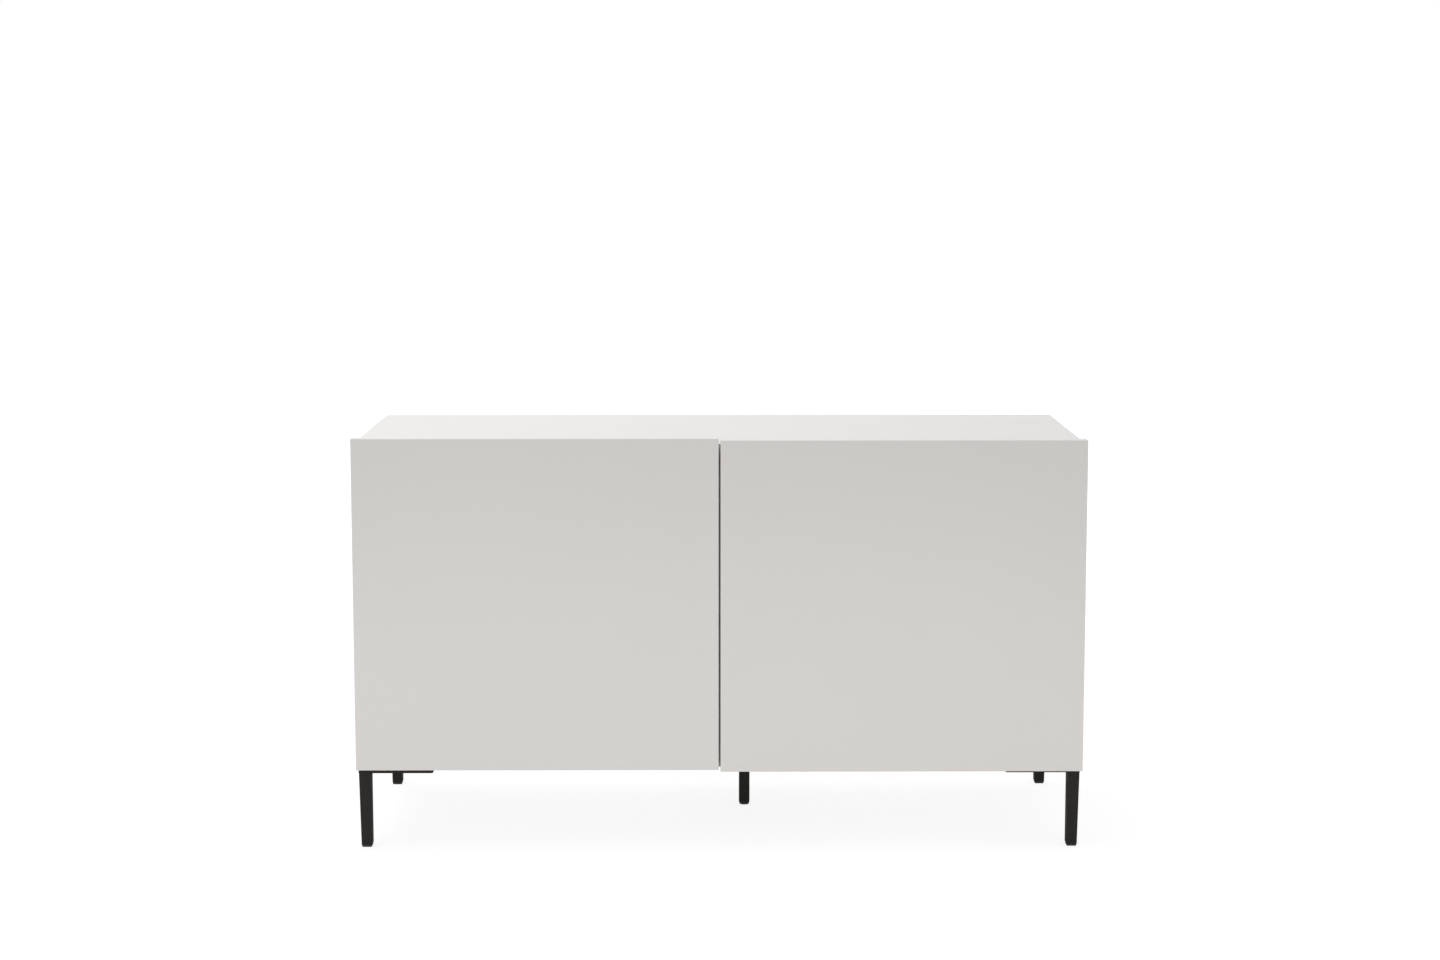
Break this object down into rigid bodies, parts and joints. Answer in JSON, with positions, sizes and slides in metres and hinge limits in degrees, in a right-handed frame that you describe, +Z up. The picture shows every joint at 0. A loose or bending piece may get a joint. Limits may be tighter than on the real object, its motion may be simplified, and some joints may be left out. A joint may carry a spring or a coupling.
{
  "type": "tv stand",
  "caption": "White lacquered TV stand: hinged doors stand above the top as finger lips, shelved bays behind them, slim black metal legs on corner plates.",
  "frame": {"origin": "on the floor, in the middle of the overall width and depth", "axes": "+X to the viewer's right along the width, +Y from the doors to the back, +Z up"},
  "size_m": [1.2, 0.4, 0.6905],
  "materials": {
    "white_lacquer": "satin white lacquer on board",
    "back_board": "white coated thin fibreboard",
    "black_metal": "matt black powder coat on cast metal",
    "black_plastic": "moulded black plastic",
    "hinge_steel": "nickel plated steel",
    "screw_steel": "zinc plated steel",
    "black_screw": "blackened steel",
    "zinc": "die-cast zinc alloy",
    "dowel_wood": "fluted beech",
    "clear_rubber": "clear soft dot"
  },
  "bodies": {
    "cabinet": {"back_panel": "back_board", "back_screws": "screw_steel", "bottom_panel": "white_lacquer", "cam_bolts": "screw_steel", "cam_locks": "zinc", "centre_glide": "black_plastic", "centre_leg": "black_metal", "centre_partition": "white_lacquer", "dowels": "dowel_wood", "front_left_glide": "black_plastic", "front_left_leg": "black_metal", "front_right_glide": "black_plastic", "front_right_leg": "black_metal", "hinge_arm_screws": "screw_steel", "hinge_plate_screws": "screw_steel", "left_lower_hinge_arm": "hinge_steel", "left_lower_hinge_plate": "hinge_steel", "left_shelf": "white_lacquer", "left_side": "white_lacquer", "left_upper_hinge_arm": "hinge_steel", "left_upper_hinge_plate": "hinge_steel", "leg_screws": "black_screw", "rear_left_glide": "black_plastic", "rear_left_leg": "black_metal", "rear_right_glide": "black_plastic", "rear_right_leg": "black_metal", "right_lower_hinge_arm": "hinge_steel", "right_lower_hinge_plate": "hinge_steel", "right_shelf": "white_lacquer", "right_side": "white_lacquer", "right_upper_hinge_arm": "hinge_steel", "right_upper_hinge_plate": "hinge_steel", "shelf_pins": "screw_steel", "top_panel": "white_lacquer"},
    "left_door": {"left_door": "white_lacquer", "left_upper_hinge_cup": "hinge_steel", "left_lower_hinge_cup": "hinge_steel", "left_hinge_pins": "hinge_steel", "left_cup_screws": "screw_steel", "left_door_bumpers": "clear_rubber"},
    "right_door": {"right_door": "white_lacquer", "right_upper_hinge_cup": "hinge_steel", "right_lower_hinge_cup": "hinge_steel", "right_hinge_pins": "hinge_steel", "right_cup_screws": "screw_steel", "right_door_bumpers": "clear_rubber"}
  },
  "joints": [
    {"name": "left_door_swing", "type": "hinge", "parent": "cabinet", "child": "left_door", "pos_m": [-0.5926, -0.1895, 0.4145], "axis": [0, 0, -1], "range_deg": [0, 95]},
    {"name": "right_door_swing", "type": "hinge", "parent": "cabinet", "child": "right_door", "pos_m": [0.5926, -0.1895, 0.4115], "axis": [0, 0, 1], "range_deg": [0, 95]}
  ]
}
